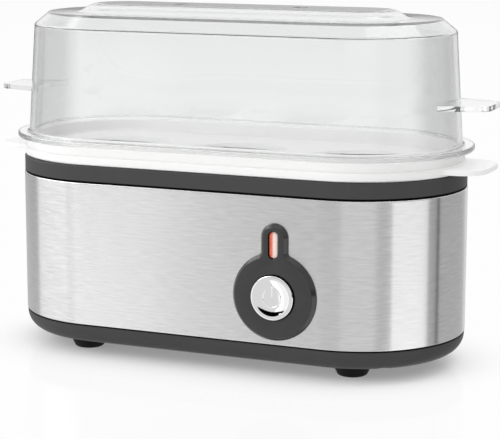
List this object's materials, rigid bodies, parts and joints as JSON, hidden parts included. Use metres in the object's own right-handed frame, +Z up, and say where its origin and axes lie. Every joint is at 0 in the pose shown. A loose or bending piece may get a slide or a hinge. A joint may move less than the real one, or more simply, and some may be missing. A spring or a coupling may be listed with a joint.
{
  "type": "egg cooker",
  "caption": "Oval electric egg cooker with a brushed steel body, white egg tray, clear lift-off lid with end tabs, and a round push button with an indicator window.",
  "frame": {"origin": "centre of the footprint on the surface that the feet stand on", "axes": "+X to the right along the length, -Y towards the front with the button, +Z up"},
  "size_m": [0.214, 0.0929, 0.1416],
  "materials": {
    "clear_plastic": "clear, glossy",
    "white_plastic": "satin, slightly translucent white",
    "grey_plastic": "fine satin grain",
    "sleeve_steel": "brushed along the length",
    "bezel_plastic": "satin",
    "button_chrome": "polished",
    "lens_plastic": "clear with fine ribs",
    "lamp_glass": "glass with an orange glow",
    "black_plastic": "moulded",
    "plate_steel": "stainless, satin",
    "silicone": "matt",
    "spreader_aluminium": "cast",
    "element_steel": "dull",
    "terminal_brass": "bright",
    "zinc_steel": "zinc plated",
    "fuse_metal": "satin",
    "block_plastic": "moulded",
    "foot_rubber": "matt",
    "lead_brown": "insulation",
    "lead_white": "insulation",
    "lead_blue": "insulation",
    "lead_green": "insulation"
  },
  "bodies": {
    "body": {"upper_housing": "grey_plastic", "base": "grey_plastic", "body_sleeve": "sleeve_steel", "control_bezel": "bezel_plastic", "indicator_lens": "lens_plastic", "neon_lamp": "lamp_glass", "lamp_holder": "black_plastic", "heating_plate": "plate_steel", "plate_gasket": "silicone", "heat_spreader": "spreader_aluminium", "heating_element": "element_steel", "element_terminals": "terminal_brass", "plate_clamps": "zinc_steel", "clamp_nuts": "zinc_steel", "thermostat": "black_plastic", "thermostat_clip": "zinc_steel", "thermostat_screws": "zinc_steel", "thermal_fuse": "fuse_metal", "fuse_clip": "zinc_steel", "fuse_screw": "zinc_steel", "bezel_retainer": "black_plastic", "bezel_screws": "zinc_steel", "button_spring": "zinc_steel", "switch_body": "black_plastic", "switch_terminals": "terminal_brass", "switch_bracket": "zinc_steel", "switch_screws": "zinc_steel", "bracket_screws": "zinc_steel", "terminal_block": "block_plastic", "terminal_screws": "terminal_brass", "block_screws": "zinc_steel", "cord_gland": "black_plastic", "gland_nut": "black_plastic", "housing_screws": "zinc_steel", "foot_front_left": "foot_rubber", "foot_front_right": "foot_rubber", "foot_rear_left": "foot_rubber", "foot_rear_right": "foot_rubber", "lead_live": "lead_brown", "lead_switched": "lead_brown", "lead_thermostat": "lead_white", "lead_fuse": "lead_white", "lead_neutral": "lead_blue", "lead_earth": "lead_green", "lead_lamp_live": "lead_white", "lead_lamp_neutral": "lead_blue"},
    "tray": {"egg_tray": "white_plastic"},
    "lid": {"lid": "clear_plastic"},
    "button": {"power_button": "button_chrome", "button_stem": "black_plastic", "stem_clip": "zinc_steel"},
    "switch_slider": {"switch_plunger": "block_plastic"}
  },
  "joints": [
    {"name": "tray_lift", "type": "slide", "parent": "body", "child": "tray", "axis": [0, 0, 1], "range_m": [0, 0.06]},
    {"name": "lid_lift", "type": "slide", "parent": "tray", "child": "lid", "axis": [0, 0, 1], "range_m": [0, 0.08]},
    {"name": "button_press", "type": "slide", "parent": "body", "child": "button", "axis": [0, 1, 0], "range_m": [0, 0.003], "stiffness_N_per_m": 600, "deforming": ["button_spring"]},
    {"name": "plunger_press", "type": "slide", "parent": "body", "child": "switch_slider", "axis": [0, 1, 0], "range_m": [0, 0.003]}
  ],
  "couplings": [
    {"joint": "plunger_press", "follows": "button_press", "ratio": 1}
  ]
}
